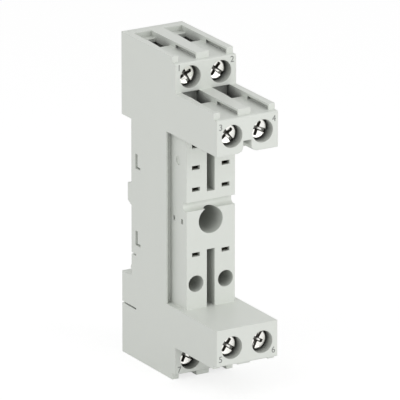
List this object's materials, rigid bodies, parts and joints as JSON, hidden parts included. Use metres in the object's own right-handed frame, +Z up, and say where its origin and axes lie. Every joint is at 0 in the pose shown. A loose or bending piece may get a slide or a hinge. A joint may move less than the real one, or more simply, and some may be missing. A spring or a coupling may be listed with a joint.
{
  "type": "relay socket",
  "caption": "Narrow screw-terminal socket that clips on a mounting rail and takes a small plug-in relay between stepped terminal tiers, with turning screws and closing wire clamps.",
  "frame": {"origin": "centre of the flat that rests on the mounting rail, on the rail's centre line", "axes": "+X across the socket to the right as seen from the front, +Y from the relay side back into the rail, +Z up along the socket"},
  "size_m": [0.0154, 0.0412, 0.0744],
  "materials": {
    "housing": "fine matte",
    "contacts": "tinned",
    "clamps": "zinc plated",
    "screws": "nickel plated"
  },
  "bodies": {
    "socket": {"housing": "housing", "rear_cover": "housing", "contact_strip_com_left": "contacts", "contact_strip_com_right": "contacts", "contact_strip_no_left": "contacts", "contact_strip_no_right": "contacts", "contact_strip_coil_left": "contacts", "contact_strip_coil_right": "contacts", "contact_strip_nc_left": "contacts", "contact_strip_nc_right": "contacts"},
    "screw_com_left": {"terminal_screw_com_left": "screws"},
    "clamp_com_left": {"clamp_cage_com_left": "clamps"},
    "screw_com_right": {"terminal_screw_com_right": "screws"},
    "clamp_com_right": {"clamp_cage_com_right": "clamps"},
    "screw_no_left": {"terminal_screw_no_left": "screws"},
    "clamp_no_left": {"clamp_cage_no_left": "clamps"},
    "screw_no_right": {"terminal_screw_no_right": "screws"},
    "clamp_no_right": {"clamp_cage_no_right": "clamps"},
    "screw_coil_left": {"terminal_screw_coil_left": "screws"},
    "clamp_coil_left": {"clamp_cage_coil_left": "clamps"},
    "screw_coil_right": {"terminal_screw_coil_right": "screws"},
    "clamp_coil_right": {"clamp_cage_coil_right": "clamps"},
    "screw_nc_left": {"terminal_screw_nc_left": "screws"},
    "clamp_nc_left": {"clamp_cage_nc_left": "clamps"},
    "screw_nc_right": {"terminal_screw_nc_right": "screws"},
    "clamp_nc_right": {"clamp_cage_nc_right": "clamps"}
  },
  "joints": [
    {"name": "turn_screw_com_left", "type": "hinge", "parent": "socket", "child": "screw_com_left", "pos_m": [-0.00385, -0.0169, 0.0324], "axis": [0, 1, 0], "range_deg": [0, 2736]},
    {"name": "close_clamp_com_left", "type": "slide", "parent": "socket", "child": "clamp_com_left", "axis": [0, -1, 0], "range_m": [0, 0.0038]},
    {"name": "turn_screw_com_right", "type": "hinge", "parent": "socket", "child": "screw_com_right", "pos_m": [0.00385, -0.0169, 0.0324], "axis": [0, 1, 0], "range_deg": [0, 2736]},
    {"name": "close_clamp_com_right", "type": "slide", "parent": "socket", "child": "clamp_com_right", "axis": [0, -1, 0], "range_m": [0, 0.0038]},
    {"name": "turn_screw_no_left", "type": "hinge", "parent": "socket", "child": "screw_no_left", "pos_m": [-0.00385, -0.0347, 0.0237], "axis": [0, 1, 0], "range_deg": [0, 2736]},
    {"name": "close_clamp_no_left", "type": "slide", "parent": "socket", "child": "clamp_no_left", "axis": [0, -1, 0], "range_m": [0, 0.0038]},
    {"name": "turn_screw_no_right", "type": "hinge", "parent": "socket", "child": "screw_no_right", "pos_m": [0.00385, -0.0347, 0.0237], "axis": [0, 1, 0], "range_deg": [0, 2736]},
    {"name": "close_clamp_no_right", "type": "slide", "parent": "socket", "child": "clamp_no_right", "axis": [0, -1, 0], "range_m": [0, 0.0038]},
    {"name": "turn_screw_coil_left", "type": "hinge", "parent": "socket", "child": "screw_coil_left", "pos_m": [-0.00385, -0.0347, -0.0247], "axis": [0, 1, 0], "range_deg": [0, 2736]},
    {"name": "close_clamp_coil_left", "type": "slide", "parent": "socket", "child": "clamp_coil_left", "axis": [0, -1, 0], "range_m": [0, 0.0038]},
    {"name": "turn_screw_coil_right", "type": "hinge", "parent": "socket", "child": "screw_coil_right", "pos_m": [0.00385, -0.0347, -0.0247], "axis": [0, 1, 0], "range_deg": [0, 2736]},
    {"name": "close_clamp_coil_right", "type": "slide", "parent": "socket", "child": "clamp_coil_right", "axis": [0, -1, 0], "range_m": [0, 0.0038]},
    {"name": "turn_screw_nc_left", "type": "hinge", "parent": "socket", "child": "screw_nc_left", "pos_m": [-0.00385, -0.0169, -0.0324], "axis": [0, 1, 0], "range_deg": [0, 2736]},
    {"name": "close_clamp_nc_left", "type": "slide", "parent": "socket", "child": "clamp_nc_left", "axis": [0, -1, 0], "range_m": [0, 0.0038]},
    {"name": "turn_screw_nc_right", "type": "hinge", "parent": "socket", "child": "screw_nc_right", "pos_m": [0.00385, -0.0169, -0.0324], "axis": [0, 1, 0], "range_deg": [0, 2736]},
    {"name": "close_clamp_nc_right", "type": "slide", "parent": "socket", "child": "clamp_nc_right", "axis": [0, -1, 0], "range_m": [0, 0.0038]}
  ],
  "couplings": [
    {"joint": "turn_screw_com_left", "follows": "close_clamp_com_left", "rad_per_m": 12566},
    {"joint": "turn_screw_com_right", "follows": "close_clamp_com_right", "rad_per_m": 12566},
    {"joint": "turn_screw_no_left", "follows": "close_clamp_no_left", "rad_per_m": 12566},
    {"joint": "turn_screw_no_right", "follows": "close_clamp_no_right", "rad_per_m": 12566},
    {"joint": "turn_screw_coil_left", "follows": "close_clamp_coil_left", "rad_per_m": 12566},
    {"joint": "turn_screw_coil_right", "follows": "close_clamp_coil_right", "rad_per_m": 12566},
    {"joint": "turn_screw_nc_left", "follows": "close_clamp_nc_left", "rad_per_m": 12566},
    {"joint": "turn_screw_nc_right", "follows": "close_clamp_nc_right", "rad_per_m": 12566}
  ]
}
